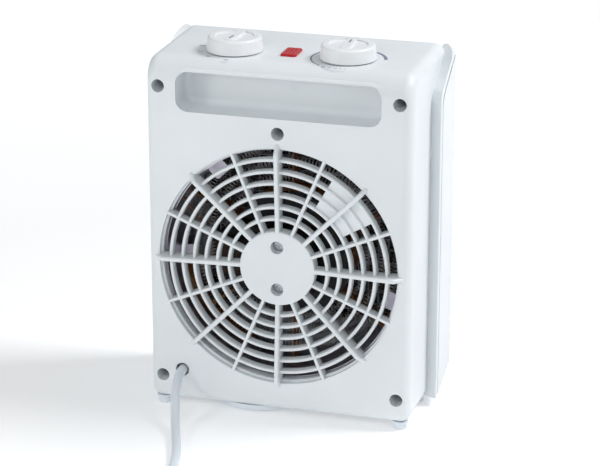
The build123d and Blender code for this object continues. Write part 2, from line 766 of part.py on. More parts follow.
def y_dome(radius, base_y, end_y):
    """A round boss along Y on the fan's axis, rounded at its far end."""
    with BuildPart() as dome:
        add(bar(radius, (0, base_y, fan_z), (0, end_y, fan_z)))
        far_face = dome.faces().sort_by(Axis.Y)[-1 if end_y > base_y else 0]
        fillet(far_face.edges(), radius=2)
    return dome.part


with BuildPart() as rear_motor_bracket:
    add(motor_bracket((core_y[1], core_y[1] + 2), 38))
rear_motor_bracket.part.label = "rear_motor_bracket"
export_step(rear_motor_bracket.part, "parts/rear_motor_bracket.step")

with BuildPart() as front_motor_bracket:
    add(motor_bracket((core_y[0], core_y[0] - 2), 10.5))
front_motor_bracket.part.label = "front_motor_bracket"
export_step(front_motor_bracket.part, "parts/front_motor_bracket.step")

with BuildPart() as motor_bushes:
    for start, end in ((31.0, 37.0), (11.5, 17.0)):
        add(bar(5, (0, start, fan_z), (0, end, fan_z)))
        add(bar(shaft_radius + 0.05, (0, start - 1, fan_z), (0, end + 1, fan_z)), mode=Mode.SUBTRACT)
motor_bushes.part.label = "motor_bushes"
export_step(motor_bushes.part, "parts/motor_bushes.step")

with BuildPart() as motor_screws:
    for z in bolt_heights:
        add(bar(screw_radius, (0, core_y[0] - 6, z), (0, 42, z)))
        add(bar(3.8, (0, 41, z), (0, 43.4, z)))
        with Locations((0, 43.4, z)):
            Box(5.2, 1.6, 1, mode=Mode.SUBTRACT)
            Box(1, 1.6, 5.2, mode=Mode.SUBTRACT)
motor_screws.part.label = "motor_screws"
export_step(motor_screws.part, "parts/motor_screws.step")

with BuildPart() as motor_shield:
    shield_y = 14.2
    add(bar(48.5, (0, shield_y, fan_z), (0, shield_y + 1, fan_z)))
    add(bar(8.6, (0, 0, fan_z), (0, 40, fan_z)), mode=Mode.SUBTRACT)
    add(block((26, 0, fan_z - 16), (60, 40, fan_z + 16)), mode=Mode.SUBTRACT)
    for z in bolt_heights:
        add(bar(screw_radius, (0, 0, z), (0, 40, z)), mode=Mode.SUBTRACT)
motor_shield.part.label = "motor_shield"
export_step(motor_shield.part, "parts/motor_shield.step")

with BuildPart() as motor_shaft:
    add(bar(shaft_radius, (0, -8, fan_z), (0, 37.5, fan_z)))
    chamfer(motor_shaft.edges().filter_by(GeomType.CIRCLE), length=0.4)
motor_shaft.part.label = "motor_shaft"
export_step(motor_shaft.part, "parts/motor_shaft.step")

with BuildPart() as motor_rotor:
    add(bar(rotor_radius, (0, core_y[0] + 0.5, fan_z), (0, core_y[1] - 0.5, fan_z)))
    add(bar(shaft_radius, (0, 0, fan_z), (0, 40, fan_z)), mode=Mode.SUBTRACT)
motor_rotor.part.label = "motor_rotor"
export_step(motor_rotor.part, "parts/motor_rotor.step")

fan_y = 2.0
blade_angle = 46.0
blade_tilt = 24.0

with BuildPart() as fan_blade:
    with BuildSketch(Plane.XZ.offset(0.5)):
        with BuildLine():
            half = radians(blade_angle / 2)
            root, tip = 12.0, fan_radius
            root_half = radians(20)
            inner = (root * cos(root_half), root * sin(root_half))
            outer = (tip * cos(half), tip * sin(half))
            Line((inner[0], -inner[1]), (outer[0], -outer[1]))
            ThreePointArc((outer[0], -outer[1]), (tip, 0), outer)
            Line(outer, inner)
            Line(inner, (inner[0], -inner[1]))
        face = make_face()
        fillet(face.vertices().sort_by(Axis.X)[-2:], radius=6)
    extrude(amount=-1.0)
blade = fan_blade.part.rotate(Axis.X, blade_tilt)

with BuildPart() as fan_impeller:
    add(bar(14, (0, fan_y - 5, fan_z), (0, fan_y + 6, fan_z)))
    for i in range(blade_count):
        placed = blade.rotate(Axis.Y, i * 360 / blade_count)
        add(placed.move(Location((0, fan_y, fan_z))))
    add(bar(shaft_radius, (0, -20, fan_z), (0, 20, fan_z)), mode=Mode.SUBTRACT)
fan_impeller.part.label = "fan_impeller"
export_step(fan_impeller.part, "parts/fan_impeller.step")

with BuildPart() as fan_clip:
    add(bar(5, (0, fan_y - 6.4, fan_z), (0, fan_y - 5, fan_z)))
    add(bar(shaft_radius, (0, -20, fan_z), (0, 20, fan_z)), mode=Mode.SUBTRACT)
fan_clip.part.label = "fan_clip"
export_step(fan_clip.part, "parts/fan_clip.step")


# Electrical fittings, feet and fasteners --------------------------------------------------

clamp_screw_x = [cord_x - 8.5, cord_x + 8.5]

with BuildPart() as cord_clamp:
    add(block((cord_x - 12, 31, cord_z + 0.4), (cord_x + 12, 41, cord_z + 6.5), 2, Axis.Y))
    add(bar(cord_radius, (cord_x, 28, cord_z), (cord_x, 44, cord_z)), mode=Mode.SUBTRACT)
    for x in clamp_screw_x:
        add(bar(1.5, (x, 36, cord_z - 1), (x, 36, cord_z + 8)), mode=Mode.SUBTRACT)
cord_clamp.part.label = "cord_clamp"
export_step(cord_clamp.part, "parts/cord_clamp.step")

with BuildPart() as clamp_screws:
    for x in clamp_screw_x:
        add(bar(1.5, (x, 36, 18), (x, 36, cord_z + 7)))
        add(bar(2.9, (x, 36, cord_z + 6.5), (x, 36, cord_z + 8.6)))
clamp_screws.part.label = "clamp_screws"
export_step(clamp_screws.part, "parts/clamp_screws.step")

with BuildPart() as terminal_block:
    add(block((84.6, -4, 58), (97, 10, 84), 1.5))
    for z in (62.5, 71, 79.5):
        add(bar(2.6, (90.8, -10, z), (90.8, 12, z)), mode=Mode.SUBTRACT)
terminal_block.part.label = "terminal_block"
export_step(terminal_block.part, "parts/terminal_block.step")

with BuildPart() as terminal_screws:
    for z in (62.5, 71, 79.5):
        add(bar(2.6, (90.8, -2, z), (90.8, 8, z)))
terminal_screws.part.label = "terminal_screws"
export_step(terminal_screws.part, "parts/terminal_screws.step")

wire_routes = [
    [(75.5, 31.2, 32), (77, 19, 34), (87, 12, 44), (89.5, 4, 56)],
    [(92, 4, 86), (94, 3, 100), (92, 6, 150), (93, 5, 200), (88, 1, 226), (68, 0, 237), (56, 5, 243)],
    [(33, 4, 243), (24, 0, 238), (-10, -1, 236), (-28, 3, 240), (-37, 5, 247)],
    [(-0.8, 8, 249.8), (-1.2, 8.2, 243), (8, 8.6, 240.4), (22, 8.4, 241), (33, 8, 243.6)],
    [(2.2, 8, 249.8), (3.2, 9, 245.2), (12, 11.4, 243.2), (26, 11.4, 243.6), (39, 9, 244)],
    [
        (-58, 5, 247), (-66, 0, 239), (-88, 2, 222), (-94, -6, 170), (-94.5, -13, 112),
        (-93, -13, 84), (-79, -11.5, 68), (-65.4, -9.4, 74.2),
    ],
    [(89.5, -5, 66), (88.5, -10, 66.5), (79, -11.5, 68), (65.4, -9.4, 74.2)],
    [
        (55.6, 31, 133), (63, 28, 142), (72.5, 25.5, 151.5), (81, 24, 163), (89, 20, 176),
        (91, 14, 205), (80, 11, 230), (64, 8, 241),
    ],
]

with BuildPart() as internal_wires:
    for route in wire_routes:
        add(tube_along(route, 1.1, route_radii(route, 0.4)))
internal_wires.part.label = "internal_wires"
export_step(internal_wires.part, "parts/internal_wires.step")

with BuildPart() as tilt_switch:
    add(block((26, -2, base_z + wall), (50, 14, base_z + wall + 18), 2))
    add(bar(6, (38, 6, base_z + wall + 17), (38, 6, base_z + wall + 22)))
tilt_switch.part.label = "tilt_switch"
export_step(tilt_switch.part, "parts/tilt_switch.step")

with BuildPart() as tilt_switch_cover:
    add(bar(40, (25, 4, 2.3), (25, 4, base_z)))
    fillet(tilt_switch_cover.faces().sort_by(Axis.Z)[0].edges(), radius=1.2)
    add(block((-60, -90, 0), (90, -9.6, 10)), mode=Mode.SUBTRACT)
tilt_switch_cover.part.label = "tilt_switch_cover"
export_step(tilt_switch_cover.part, "parts/tilt_switch_cover.step")

foot_places = [(x, y) for x in (-93.5, 93.5) for y in (-17.0, 39.0)]

with BuildPart() as feet:
    for x, y in foot_places:
        add(bar(5, (x, y, 0), (x, y, 12)))
        add(bar(6.2, (x, y, base_z - 1.6), (x, y, 12)))
    for x, y in foot_places:
        add(block((x - 7, y - 0.9, -1), (x + 7, y + 0.9, 2.2)), mode=Mode.SUBTRACT)
    with BuildSketch(Plane.YZ):
        outline((80, base_z), (-12, base_z), (front_y, 20), (front_y, 60), (80, 60))
    extrude(amount=150, both=True, mode=Mode.SUBTRACT)
    # Clear of the rear housing's floor, which ends at the seam
    seam_y = lip_front_inner[0][0] - 0.3
    add(block((-120, seam_y, base_z), (120, 60, 12)), mode=Mode.SUBTRACT)
feet.part.label = "feet"
export_step(feet.part, "parts/feet.step")

with BuildPart() as housing_screws:
    for x, z in corner_screws + [centre_screw]:
        floor_y = -9.0 if z > 240 else 15.0
        add(bar(screw_radius, (x, floor_y - 13, z), (x, floor_y + 1, z)))
        add(bar(3.9, (x, floor_y, z), (x, floor_y + 2.4, z)))
        with Locations((x, floor_y + 2.4, z)):
            Box(5.4, 1.8, 1, mode=Mode.SUBTRACT)
            Box(1, 1.8, 5.4, mode=Mode.SUBTRACT)
housing_screws.part.label = "housing_screws"
export_step(housing_screws.part, "parts/housing_screws.step")


# Mains lead -------------------------------------------------------------------------------

# Route from the clamp to the coil: out of the hole, down to the floor and away
lead_route = [
    (cord_x, 31.5, cord_z), (cord_x, 42.5, cord_z), (76.1, 54, 31.2), (75.2, 66, 27.6),
    (72.6, 76.9, 20.5), (69.3, 86.9, 11.4), (64.8, 99.9, 5.1), (58, 118, 3.5),
    (48.6, 145, 3.5), (43.3, 176, 3.5), (42.9, 210, 3.5), (45.5, 236, 3.5),
]
lead_radii = route_radii(lead_route)
coil_centre = (0.0, 240.0)
coil_mean_radius = 38.5
coil_layers = 2
coil_turns_wide = 3

with BuildPart() as cord_lead:
    add(tube_along(lead_route, cord_radius, lead_radii))
cord_lead.part.label = "cord_lead"
export_step(cord_lead.part, "parts/cord_lead.step")

with BuildPart() as cord_coil:
    with BuildSketch(Plane.XZ.offset(-coil_centre[1])):
        with Locations((coil_mean_radius, coil_layers * cord_radius)):
            RectangleRounded(2 * cord_radius * coil_turns_wide, 2 * cord_radius * coil_layers, 3)
    revolve(axis=Axis((0, coil_centre[1], 0), (0, 0, 1)))
cord_coil.part.label = "cord_coil"
export_step(cord_coil.part, "parts/cord_coil.step")

plug_z = 9.5
plug_y = coil_centre[1] + coil_mean_radius + 2 * cord_radius
tail_route = [
    (0, plug_y, 10.5), (-9, plug_y - 0.4, 10.6), (-20, plug_y - 1.6, 9.8), (-30, plug_y - 2, plug_z),
]
with BuildPart() as cord_tail:
    add(tube_along(tail_route, cord_radius, route_radii(tail_route)))
cord_tail.part.label = "cord_tail"
export_step(cord_tail.part, "parts/cord_tail.step")

plug_start_x = -30.0
with BuildPart() as plug_body:
    for offset, width, height in ((0, 9, 9), (-14, 13, 12), (-24, 26, 17), (-44, 35, 19)):
        with BuildSketch(Plane(origin=(plug_start_x + offset, plug_y - 2, plug_z), z_dir=(-1, 0, 0))):
            RectangleRounded(height, width, min(width, height) / 2 - 0.6)
    loft(ruled=True)
plug_body.part.label = "plug_body"
export_step(plug_body.part, "parts/plug_body.step")

with BuildPart() as plug_pins:
    for side in (-9.5, 9.5):
        y = plug_y - 2 + side
        add(bar(2.4, (plug_start_x - 44, y, plug_z), (plug_start_x - 62, y, plug_z)))
        fillet(plug_pins.faces().sort_by(Axis.X)[0].edges(), radius=1.6)
plug_pins.part.label = "plug_pins"
export_step(plug_pins.part, "parts/plug_pins.step")
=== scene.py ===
import json
import math

import bmesh
import bpy
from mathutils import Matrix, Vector


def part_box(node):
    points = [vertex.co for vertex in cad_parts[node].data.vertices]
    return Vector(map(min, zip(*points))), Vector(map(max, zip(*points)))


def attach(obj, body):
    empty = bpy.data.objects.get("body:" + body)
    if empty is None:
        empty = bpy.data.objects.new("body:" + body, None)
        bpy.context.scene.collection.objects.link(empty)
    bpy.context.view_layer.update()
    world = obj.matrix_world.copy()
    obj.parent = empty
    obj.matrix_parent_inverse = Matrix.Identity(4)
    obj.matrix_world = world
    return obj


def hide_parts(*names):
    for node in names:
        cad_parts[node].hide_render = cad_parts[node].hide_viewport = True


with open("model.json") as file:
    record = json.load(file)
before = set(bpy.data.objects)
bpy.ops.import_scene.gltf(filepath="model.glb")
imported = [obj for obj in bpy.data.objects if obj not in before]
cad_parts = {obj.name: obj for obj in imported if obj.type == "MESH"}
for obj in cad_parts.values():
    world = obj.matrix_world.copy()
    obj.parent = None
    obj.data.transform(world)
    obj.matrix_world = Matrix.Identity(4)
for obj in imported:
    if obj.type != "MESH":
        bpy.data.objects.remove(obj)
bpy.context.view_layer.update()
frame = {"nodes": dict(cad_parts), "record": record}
nodes = frame["nodes"]
MM = 0.001


# Camera -------------------------------------------------------------------------------------

camera_data = bpy.data.cameras.new("camera")
camera_data.lens = 148.4
camera_data.sensor_width = 36.0
camera_data.clip_start = 0.05
camera = bpy.data.objects.new("camera", camera_data)
bpy.context.scene.collection.objects.link(camera)
bpy.context.scene.camera = camera
camera_place = (-0.4963, 1.7042, 0.7630)
view_direction = (0.2618, -0.9054, -0.3343)
camera.location = camera_place
camera.rotation_euler = Vector(view_direction).to_track_quat("-Z", "Y").to_euler()


# Helpers --------------------------------------------------------------------------------------


def link(obj, body, material):
    """Puts a new piece in the scene, on a body, with its finish."""
    bpy.context.scene.collection.objects.link(obj)
    obj.data.materials.append(material)
    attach(obj, body)
    return obj


def mesh_piece(name, vertices, faces, body, material, smooth=True):
    """A new mesh piece from vertices in millimetres."""
    mesh = bpy.data.meshes.new(name)
    mesh.from_pydata([tuple(c * MM for c in v) for v in vertices], [], faces)
    if smooth:
        mesh.shade_smooth()
    return link(bpy.data.objects.new(name, mesh), body, material)


class Graph:
    """A material's nodes, built in order."""

    def __init__(self, name):
        self.material = bpy.data.materials.new(name)
        self.material.use_nodes = True
        self.tree = self.material.node_tree
        self.shader = self.tree.nodes["Principled BSDF"]
        self.place = self.add("ShaderNodeTexCoord").outputs["Object"]

    def add(self, kind, **values):
        node = self.tree.nodes.new(kind)
        for key, value in values.items():
            setattr(node, key, value)
        return node

    def join(self, source, target):
        self.tree.links.new(source, target)

    def noise(self, scale, detail=3.0, stretch=None):
        """Noise with features about 1/scale metres across, stretched along an axis if asked."""
        node = self.add("ShaderNodeTexNoise")
        node.inputs["Scale"].default_value = scale
        node.inputs["Detail"].default_value = detail
        source = self.place
        if stretch:
            mapping = self.add("ShaderNodeMapping")
            mapping.inputs["Scale"].default_value = stretch
            self.join(source, mapping.inputs["Vector"])
            source = mapping.outputs["Vector"]
        self.join(source, node.inputs["Vector"])
        return node.outputs["Fac"]

    def ramp(self, source, stops):
        """A colour ramp through (position, colour) stops."""
        node = self.add("ShaderNodeValToRGB")
        elements = node.color_ramp.elements
        while len(elements) < len(stops):
            elements.new(0.5)
        for element, (position, colour) in zip(elements, stops):
            element.position = position
            element.color = (*colour, 1.0)
        self.join(source, node.inputs["Fac"])
        return node.outputs["Color"]

    def remap(self, source, low, high):
        node = self.add("ShaderNodeMapRange")
        node.inputs["From Min"].default_value = 0.3
        node.inputs["From Max"].default_value = 0.7
        node.inputs["To Min"].default_value = low
        node.inputs["To Max"].default_value = high
        self.join(source, node.inputs["Value"])
        return node.outputs["Result"]

    def bump(self, source, strength, depth, under=None):
        """Relief of a given depth in metres."""
        node = self.add("ShaderNodeBump")
        node.inputs["Strength"].default_value = strength
        node.inputs["Distance"].default_value = depth
        self.join(source, node.inputs["Height"])
        if under:
            self.join(under, node.inputs["Normal"])
        self.join(node.outputs["Normal"], self.shader.inputs["Normal"])
        return node.outputs["Normal"]

    def set(self, **values):
        for key, value in values.items():
            self.shader.inputs[key.replace("_", " ")].default_value = value


def shade(colour, factor):
    return tuple(min(1.0, c * factor) for c in colour)


def moulded(name, colour, rough, grain=2200, relief=0.00002, strength=0.35, spread=0.04):
    """Moulded plastic: faint flow marks, fine grain, and a little handling wear in the gloss."""
    g = Graph(name)
    flow = g.noise(14, 4)
    g.join(g.ramp(flow, [(0.3, shade(colour, 1 - spread)), (0.7, shade(colour, 1 + spread / 2))]),
           g.shader.inputs["Base Color"])
    wear = g.noise(55, 6)
    g.join(g.remap(wear, rough - 0.05, rough + 0.07), g.shader.inputs["Roughness"])
    soft = g.bump(g.noise(220, 2), 0.15, 0.00004)
    g.bump(g.noise(grain, 2), strength, relief, soft)
    return g.material


def metal(name, colour, rough, scale=900, stretch=(1, 1, 1), depth=0.00002, spread=0.12):
    """Bare or plated metal, drawn or rolled along one axis."""
    g = Graph(name)
    g.set(Metallic=1.0)
    lines = g.noise(scale, 5, stretch)
    tint = g.noise(38, 4)
    g.join(g.ramp(tint, [(0.3, shade(colour, 1 - spread)), (0.7, colour)]), g.shader.inputs["Base Color"])
    g.join(g.remap(lines, rough - 0.08, rough + 0.1), g.shader.inputs["Roughness"])
    g.bump(lines, 0.4, depth)
    return g.material


# Materials ------------------------------------------------------------------------------------

body_white = moulded("body_white", (0.78, 0.815, 0.83), 0.42)
knob_white = moulded("knob_white", (0.86, 0.875, 0.885), 0.3, relief=0.00001)
foot_plastic = moulded("foot_plastic", (0.76, 0.81, 0.86), 0.5)
black_plastic = moulded("black_plastic", (0.012, 0.011, 0.013), 0.5, spread=0.3)
nylon = moulded("nylon", (0.74, 0.72, 0.65), 0.45)
ceramic = moulded("ceramic", (0.78, 0.74, 0.66), 0.75, grain=1200, relief=0.00005)
cord_sheath = moulded("cord_sheath", (0.74, 0.79, 0.84), 0.4, grain=900)
wire_insulation = moulded("wire_insulation", (0.16, 0.07, 0.04), 0.45, spread=0.25)
print_grey = moulded("print_grey", (0.24, 0.24, 0.33), 0.6, spread=0.15)

zinc_steel = metal("zinc_steel", (0.55, 0.56, 0.6), 0.36)
steel_wire = metal("steel_wire", (0.5, 0.5, 0.53), 0.38)
brass = metal("brass", (0.72, 0.53, 0.24), 0.36)
aluminium = metal("aluminium", (0.8, 0.8, 0.82), 0.3)
plug_metal = metal("plug_metal", (0.72, 0.7, 0.64), 0.22)
resistance_wire = metal("resistance_wire", (0.62, 0.59, 0.58), 0.34, scale=3000)


def galvanised():
    """Bright galvanised sheet: large angular spangles, each with its own tint and gloss."""
    g = Graph("galvanised_steel")
    g.set(Metallic=1.0)
    cells = g.add("ShaderNodeTexVoronoi")
    cells.inputs["Scale"].default_value = 90
    g.join(g.place, cells.inputs["Vector"])
    g.join(g.ramp(cells.outputs["Distance"], [(0.0, (0.52, 0.49, 0.56)), (0.9, (0.66, 0.64, 0.7))]),
           g.shader.inputs["Base Color"])
    g.join(g.remap(g.noise(120, 4), 0.26, 0.42), g.shader.inputs["Roughness"])
    wavy = g.bump(g.noise(60, 2), 0.4, 0.0006)
    g.bump(cells.outputs["Distance"], 0.2, 0.00003, wavy)
    return g.material


def mica():
    """Pressed mica board: amber flakes in layers, slightly glossy."""
    g = Graph("mica")
    cells = g.add("ShaderNodeTexVoronoi")
    cells.inputs["Scale"].default_value = 420
    g.join(g.place, cells.inputs["Vector"])
    g.join(g.ramp(cells.outputs["Distance"], [(0.1, (0.42, 0.17, 0.04)), (0.6, (0.24, 0.09, 0.02))]),
           g.shader.inputs["Base Color"])
    g.join(g.remap(g.noise(300, 4), 0.3, 0.55), g.shader.inputs["Roughness"])
    g.bump(cells.outputs["Distance"], 0.4, 0.00006)
    return g.material


def painted_shade_laminations():
    """A stack of thin varnished sheets, seen as fine lines across Y, drawn almost black as painted shade of
    the dark space behind the grille hub.
    """
    g = Graph("lamination_steel")
    g.set(Metallic=0.6)
    wave = g.add("ShaderNodeTexWave")
    wave.bands_direction = "Y"
    wave.inputs["Scale"].default_value = 320
    wave.inputs["Distortion"].default_value = 0.6
    g.join(g.place, wave.inputs["Vector"])
    # Painted shade: the near-black sheet colour stands for the dark interior seen through the grille
    g.join(g.ramp(g.noise(60, 4), [(0.3, (0.012, 0.01, 0.012)), (0.7, (0.03, 0.026, 0.028))]),
           g.shader.inputs["Base Color"])
    g.join(g.remap(g.noise(200, 4), 0.38, 0.6), g.shader.inputs["Roughness"])
    g.bump(wave.outputs["Fac"], 0.5, 0.00012)
    return g.material


def painted_shade_winding():
    """Enamelled wire wound round the leg, drawn almost black instead of copper as painted shade of the dark
    space behind the grille hub: lines across Z.
    """
    g = Graph("motor_winding")
    wave = g.add("ShaderNodeTexWave")
    wave.bands_direction = "Z"
    wave.inputs["Scale"].default_value = 420
    wave.inputs["Distortion"].default_value = 0.8
    g.join(g.place, wave.inputs["Vector"])
    # Painted shade: the near-black wire colour stands for the dark interior seen through the grille
    g.join(g.ramp(wave.outputs["Fac"], [(0.2, (0.012, 0.006, 0.004)), (0.9, (0.07, 0.028, 0.012))]),
           g.shader.inputs["Base Color"])
    g.join(g.remap(g.noise(150, 4), 0.25, 0.45), g.shader.inputs["Roughness"])
    g.bump(wave.outputs["Fac"], 0.7, 0.00015)
    return g.material


def clear(name, colour, rough, transmission, spread=0.2):
    """Clear moulded or blown material with faint flow lines."""
    g = Graph(name)
    g.set(Transmission_Weight=transmission, IOR=1.49)
    g.join(g.ramp(g.noise(90, 3), [(0.3, shade(colour, 1 - spread)), (0.7, colour)]),
           g.shader.inputs["Base Color"])
    g.join(g.remap(g.noise(260, 3), rough, rough + 0.08), g.shader.inputs["Roughness"])
    g.bump(g.noise(160, 2), 0.2, 0.0001)
    return g.material


slot_materials = {
    "white_plastic": body_white,
    "knob_white": knob_white,
    "black_plastic": black_plastic,
    "nylon": nylon,
    "ceramic": ceramic,
    "foot_plastic": foot_plastic,
    "cord_sheath": cord_sheath,
    "wire_insulation": wire_insulation,
    "red_lens": clear("red_lens", (0.62, 0.002, 0.01), 0.14, 0.12),
    "lamp_glass": clear("lamp_glass", (0.9, 0.62, 0.45), 0.03, 0.9),
    "zinc_steel": zinc_steel,
    "galvanised_steel": galvanised(),
    "steel_wire": steel_wire,
    "lamination_steel": painted_shade_laminations(),
    "resistance_wire": resistance_wire,
    "mica": mica(),
    "brass": brass,
    "copper": painted_shade_winding(),
    "aluminium": aluminium,
    "plug_metal": plug_metal,
}
for part in frame["record"]["subparts"]:
    own = nodes[part["node"]].data.materials
    own.clear()
    own.append(slot_materials[part["material_slot"]])


# Mains lead -----------------------------------------------------------------------------------

cord_radius = 3.5
exit_x, exit_y, exit_z = 76.2, 48.0, 31.6
lead_route = [
    (exit_x, 31.5, exit_z), (exit_x, 42.5, exit_z), (76.1, 54, 31.2), (75.2, 66, 27.6),
    (72.6, 76.9, 20.5), (69.3, 86.9, 11.4), (64.8, 99.9, 5.1), (58, 118, 3.5),
    (48.6, 145, 3.5), (43.3, 176, 3.5), (42.9, 210, 3.5), (45.5, 236, 3.5),
]
tail_route = [(0, 285.5, 10.5), (-9, 285.1, 10.6), (-20, 283.9, 9.8), (-30, 283.5, 9.5)]
coil_centre_y = 240.0
coil_radii = (45.5, 38.5, 31.5)
first_turn, last_turn = 0.05, 5.25
coil_points = 84


def step_between(turn, start, end):
    """0 before start, 1 after end, and even between them."""
    return min(1.0, max(0.0, (turn - start) / (end - start)))


def coil_point(turn):
    """A point on the coil: in over the first layer, up, and out over the second."""
    shifts = (
        -step_between(turn, 0.8, 1.0) - step_between(turn, 1.8, 2.0)
        + step_between(turn, 3.35, 3.55) + step_between(turn, 4.35, 4.55)
    )
    points_per_turn = coil_points / (last_turn - first_turn)
    radius = (coil_radii[0] + 2 * cord_radius * shifts) / math.cos(math.pi / points_per_turn)
    height = cord_radius + 2 * cord_radius * step_between(turn, 2.6, 2.8)
    angle = 2 * math.pi * turn
    return radius * math.cos(angle), coil_centre_y + radius * math.sin(angle), height


coil_step = (last_turn - first_turn) / coil_points
route = lead_route + [coil_point(first_turn + coil_step * i) for i in range(coil_points)] + tail_route

cord_curve = bpy.data.curves.new("mains_cord", "CURVE")
cord_curve.dimensions = "3D"
cord_curve.bevel_depth = cord_radius * MM
cord_curve.bevel_resolution = 5
cord_curve.use_fill_caps = True
spline = cord_curve.splines.new("NURBS")
spline.points.add(len(route) - 1)
for point, place in zip(spline.points, route):
    point.co = (*(c * MM for c in place), 1.0)
spline.order_u = 3
spline.use_endpoint_u = True
spline.resolution_u = 6
mains_cord = link(bpy.data.objects.new("mains_cord", cord_curve), "heater", cord_sheath)
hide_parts("cord_lead", "cord_coil", "cord_tail")

# Moulded plug: rounded sections along -X, waisted where fingers hold it, with grip ribs
plug_low, plug_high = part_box("plug_body")
plug_start_x = plug_high[0] / MM
plug_y, plug_z = [(plug_low[i] + plug_high[i]) / 2 / MM for i in (1, 2)]


# Distance from the cord, half width and half height
plug_profile = [
    (0, 4.3, 4.3), (12, 5.2, 5.0), (16, 7.5, 6.4), (24, 13.2, 8.4), (33, 15.6, 8.6), (42, 17.3, 9.3),
    (44, 16.4, 8.5),
]


def plug_section(along):
    """Half width and half height of the plug, this many millimetres from the cord."""
    for (a, wide_a, high_a), (b, wide_b, high_b) in zip(plug_profile, plug_profile[1:]):
        if along <= b:
            f = (along - a) / (b - a)
            f = f * f * (3 - 2 * f)
            return wide_a + (wide_b - wide_a) * f, high_a + (high_b - high_a) * f
    return plug_profile[-1][1:]


plug_vertices, plug_faces = [], []
around_plug, plug_steps = 40, 66
for i in range(plug_steps + 1):
    along = plug_profile[-1][0] * i / plug_steps
    half_width, half_height = plug_section(along)
    rib = 0.35 * math.sin(along * 2 * math.pi / 3.2) if 24 < along < 38 else 0.0
    groove = -0.5 * (math.sin(along * 2 * math.pi / 3.0) > 0.2) if 2 < along < 13 else 0.0
    for k in range(around_plug):
        angle = 2 * math.pi * k / around_plug
        c, s = math.cos(angle), math.sin(angle)
        squareness = 0.62 + 0.38 * max(0.0, 1 - along / 18)
        across = math.copysign(abs(c) ** squareness, c) * (half_width + groove)
        up = math.copysign(abs(s) ** squareness, s) * (half_height + groove + rib * abs(s))
        plug_vertices.append((plug_start_x - along, plug_y + across, plug_z + up))
for i in range(plug_steps):
    for k in range(around_plug):
        a, b = i * around_plug + k, i * around_plug + (k + 1) % around_plug
        plug_faces.append((a, b, b + around_plug, a + around_plug))
plug_faces.append(tuple(range(around_plug)))
plug_faces.append(tuple(reversed(range(plug_steps * around_plug, (plug_steps + 1) * around_plug))))
plug = mesh_piece("plug", plug_vertices, plug_faces, "heater", cord_sheath)
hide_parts("plug_body")

# Strap round the coil
strap_vertices, strap_faces = [], []
inner_x, outer_x = -coil_radii[0] - cord_radius - 0.3, -coil_radii[2] + cord_radius + 0.3
strap_high, strap_low = 4 * cord_radius + 0.3, 0.1
strap_half_width, strap_thickness = 3.2, 0.7
strap_steps = 48
for i in range(strap_steps):
    angle = 2 * math.pi * i / strap_steps
    c, s = math.cos(angle), math.sin(angle)
    x = (inner_x + outer_x) / 2 + math.copysign(abs(c) ** 0.4, c) * (outer_x - inner_x) / 2
    z = (strap_low + strap_high) / 2 + math.copysign(abs(s) ** 0.4, s) * (strap_high - strap_low) / 2
    for grow, side in ((0.0, -1), (0.0, 1), (strap_thickness, 1), (strap_thickness, -1)):
        strap_vertices.append((x + grow * c, coil_centre_y + side * strap_half_width, max(0.05, z + grow * s)))
for i in range(strap_steps):
    for k in range(4):
        a, b = i * 4 + k, i * 4 + (k + 1) % 4
        n = 4 * strap_steps
        strap_faces.append((a, b, (b + 4) % n, (a + 4) % n))
strap = mesh_piece("coil_strap", strap_vertices, strap_faces, "heater", black_plastic)


# Heating coils --------------------------------------------------------------------------------

fan_z = 122.0
coil_y = -3.0
wire_radius = 0.36
winding_outer_radius = 4.6
helix_radius = winding_outer_radius - wire_radius
ring_radii = (56.0, 68.0, 80.0)
winding_spans = ((-38, 218), (218, 322))
helix_pitch = 2.8
points_per_helix_turn = 12

coil_curve = bpy.data.curves.new("coil_windings", "CURVE")
coil_curve.dimensions = "3D"
coil_curve.bevel_depth = wire_radius * MM
coil_curve.bevel_resolution = 1
coil_curve.use_fill_caps = True
for ring in ring_radii:
    clearance = math.degrees(1.6 / ring)
    for first, last in winding_spans:
        start, end = first + clearance, last - clearance
        length = math.radians(end - start) * ring
        turns = round(length / helix_pitch)
        count = turns * points_per_helix_turn
        helix = coil_curve.splines.new("POLY")
        helix.points.add(count)
        for i in range(count + 1):
            along = math.radians(start + (end - start) * i / count)
            sag = 0.35 * math.sin(along * 9 + ring)
            wind = 2 * math.pi * i / points_per_helix_turn
            radius = ring + helix_radius * math.cos(wind) + sag * 0.2
            helix.points[i].co = (
                radius * math.cos(along) * MM,
                (coil_y + helix_radius * math.sin(wind)) * MM,
                (fan_z + radius * math.sin(along)) * MM,
                1.0,
            )
coil_windings = link(
    bpy.data.objects.new("coil_windings", coil_curve), "heater", resistance_wire
)
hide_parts("heating_coils")


# Printed marks --------------------------------------------------------------------------------

deck_z = 277.0
ink = 0.06
knob_places = {"power": (43.6, 11.0), "thermostat": (-43.6, 11.0)}


def ribbon(points, widths, z):
    """A flat printed line through (X, Y) points with a width at each."""
    vertices, faces = [], []
    for i, ((x, y), width) in enumerate(zip(points, widths)):
        before, after = points[max(0, i - 1)], points[min(len(points) - 1, i + 1)]
        along = Vector((after[0] - before[0], after[1] - before[1])).normalized()
        side = Vector((-along.y, along.x)) * width / 2
        for height in (z, z + ink):
            vertices += [(x - side.x, y - side.y, height), (x + side.x, y + side.y, height)]
    for i in range(len(points) - 1):
        a, b = 4 * i, 4 * i + 4
        faces += [(a + 2, b + 2, b + 3, a + 3), (a, a + 1, b + 1, b)]
        faces += [(a, b, b + 2, a + 2), (a + 1, a + 3, b + 3, b + 1)]
    end = 4 * (len(points) - 1)
    faces += [(0, 2, 3, 1), (end, end + 1, end + 3, end + 2)]
    return vertices, faces


def marks_piece(name, ribbons, body):
    vertices, faces = [], []
    for more_vertices, more_faces in ribbons:
        start = len(vertices)
        vertices += more_vertices
        faces += [tuple(start + i for i in face) for face in more_faces]
    return mesh_piece(name, vertices, faces, body, print_grey, smooth=False)


